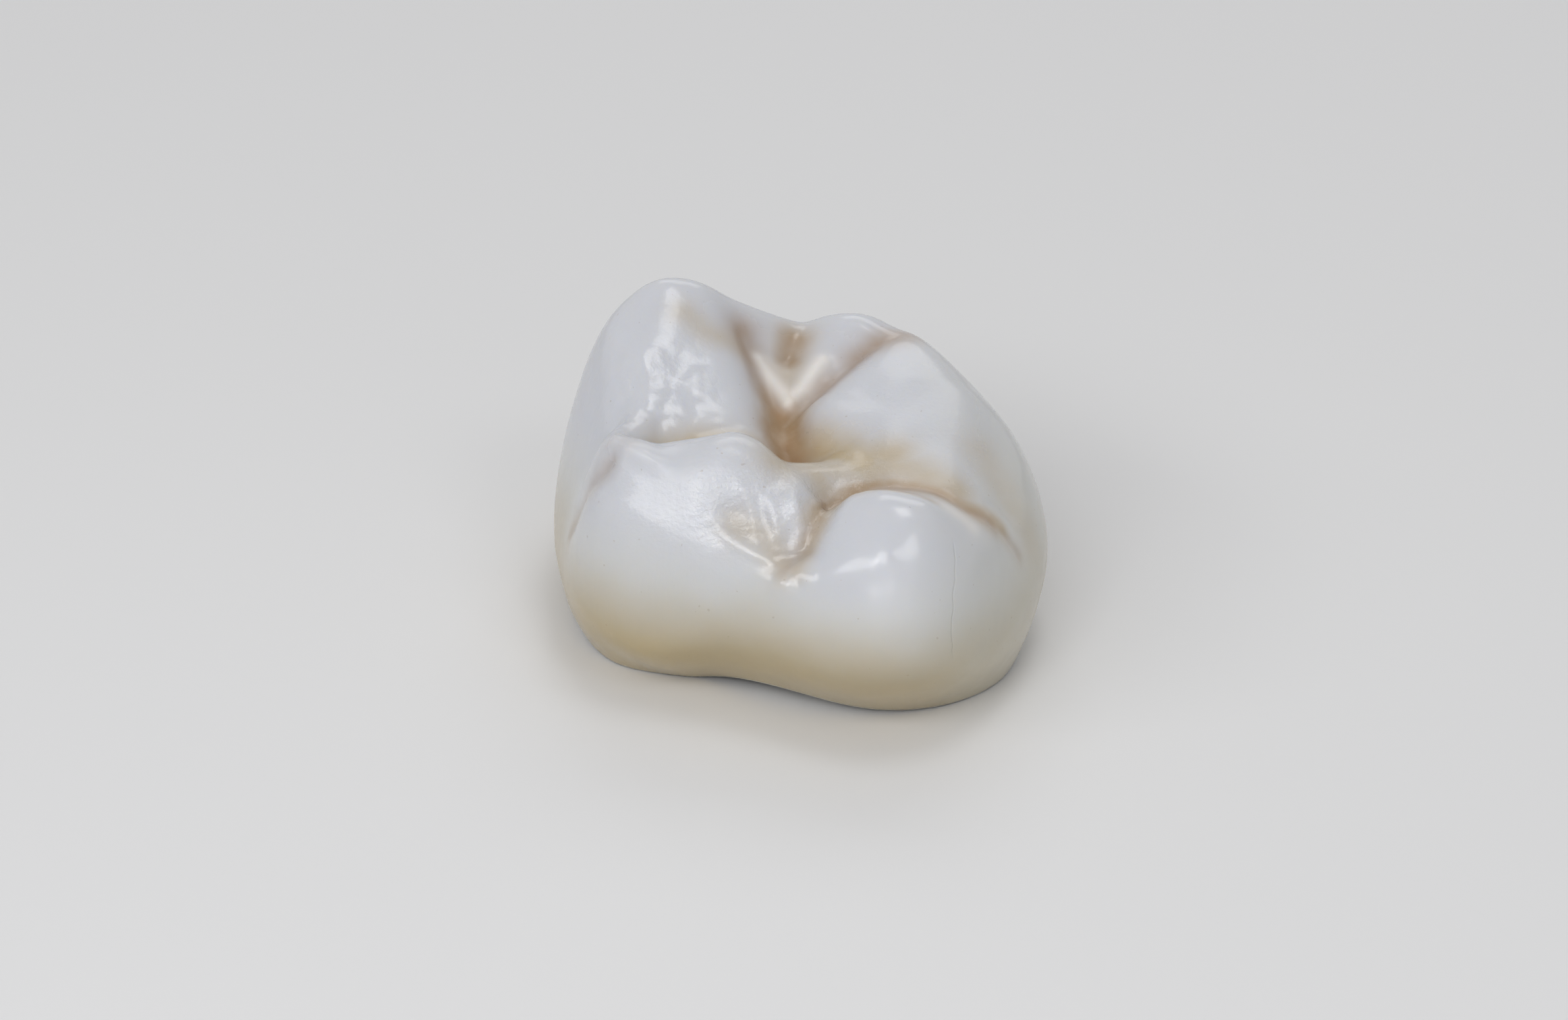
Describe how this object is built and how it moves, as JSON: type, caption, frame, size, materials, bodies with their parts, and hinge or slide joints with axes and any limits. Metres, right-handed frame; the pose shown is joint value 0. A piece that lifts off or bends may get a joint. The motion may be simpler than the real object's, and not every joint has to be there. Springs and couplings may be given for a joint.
{
  "type": "ceramic dental crown",
  "caption": "Hollow one-piece ceramic crown for an upper molar: rounded cusps and stained grooves on top, a bulging wall, and a tapered socket below for the prepared tooth.",
  "frame": {"origin": "middle of the bounding box, on the plane that the neck edge stands on", "axes": "+Z from the neck edge up to the biting face, +Y towards the cheek, -Y towards the palate, +X towards the back of the mouth"},
  "size_m": [0.0102, 0.0106, 0.0065],
  "materials": {
    "ceramic": "glazed, translucent"
  },
  "bodies": {
    "root": {"crown": "ceramic"}
  },
  "joints": []
}
